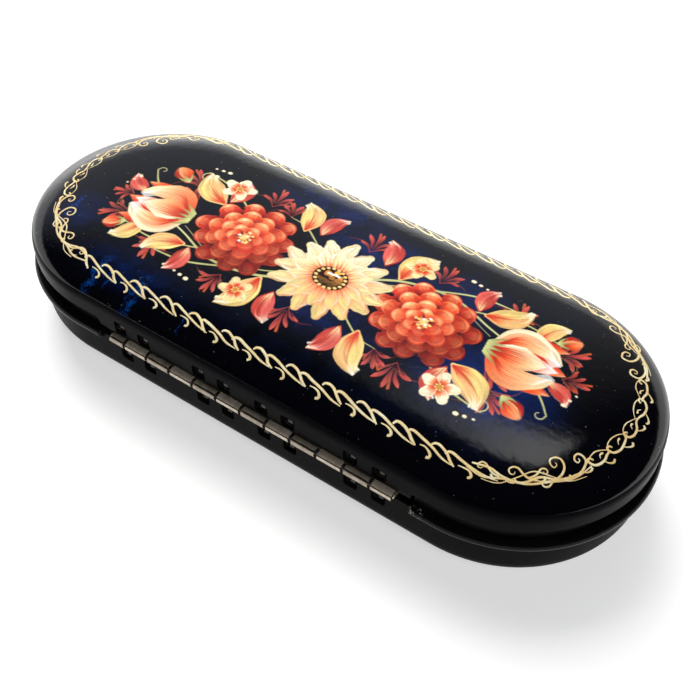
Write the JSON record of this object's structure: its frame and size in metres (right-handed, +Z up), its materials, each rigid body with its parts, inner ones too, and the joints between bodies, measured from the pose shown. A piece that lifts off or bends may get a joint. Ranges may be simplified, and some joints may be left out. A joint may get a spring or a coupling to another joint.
{
  "type": "eyeglass case",
  "caption": "Hard clamshell spectacle case with rounded ends, a knuckle hinge along one long side, sprung lid, and flocked liners.",
  "frame": {"origin": "centre of the bounding box on the flat bottom, on the surface that the case rests on", "axes": "+X along the case, +Y from the hinge towards the side that opens, +Z up through the lid"},
  "size_m": [0.1642, 0.0676, 0.03],
  "materials": {
    "lacquer": "glossy black lacquer with a painted lid",
    "satin_paint": "satin black paint",
    "collar_black": "matte black",
    "nickel": "nickel-plated, drawn",
    "spring_steel": "plain spring steel",
    "flock": "dark blue flock"
  },
  "bodies": {
    "base": {"base_shell": "satin_paint", "base_hinge_leaf": "nickel", "hinge_pin": "nickel", "rim_collar": "collar_black", "base_liner": "flock"},
    "lid": {"lid_shell": "lacquer", "lid_hinge_leaf": "nickel", "lid_liner": "flock"},
    "left_spring": {"snap_spring_left": "spring_steel"},
    "right_spring": {"snap_spring_right": "spring_steel"}
  },
  "joints": [
    {"name": "lid_hinge", "type": "hinge", "parent": "base", "child": "lid", "pos_m": [0.0004, -0.03255, 0.016], "axis": [1, 0, 0], "range_deg": [0, 110]},
    {"name": "left_spring_swing", "type": "hinge", "parent": "base", "child": "left_spring", "pos_m": [-0.0195, -0.0293, 0.01015], "axis": [1, 0, 0], "range_deg": [0, 55], "deforming": ["snap_spring_left"]},
    {"name": "right_spring_swing", "type": "hinge", "parent": "base", "child": "right_spring", "pos_m": [0.0203, -0.0293, 0.01015], "axis": [1, 0, 0], "range_deg": [0, 55], "deforming": ["snap_spring_right"]}
  ],
  "couplings": [
    {"joint": "left_spring_swing", "follows": "lid_hinge", "ratio": 0.4924},
    {"joint": "right_spring_swing", "follows": "lid_hinge", "ratio": 0.4924}
  ]
}
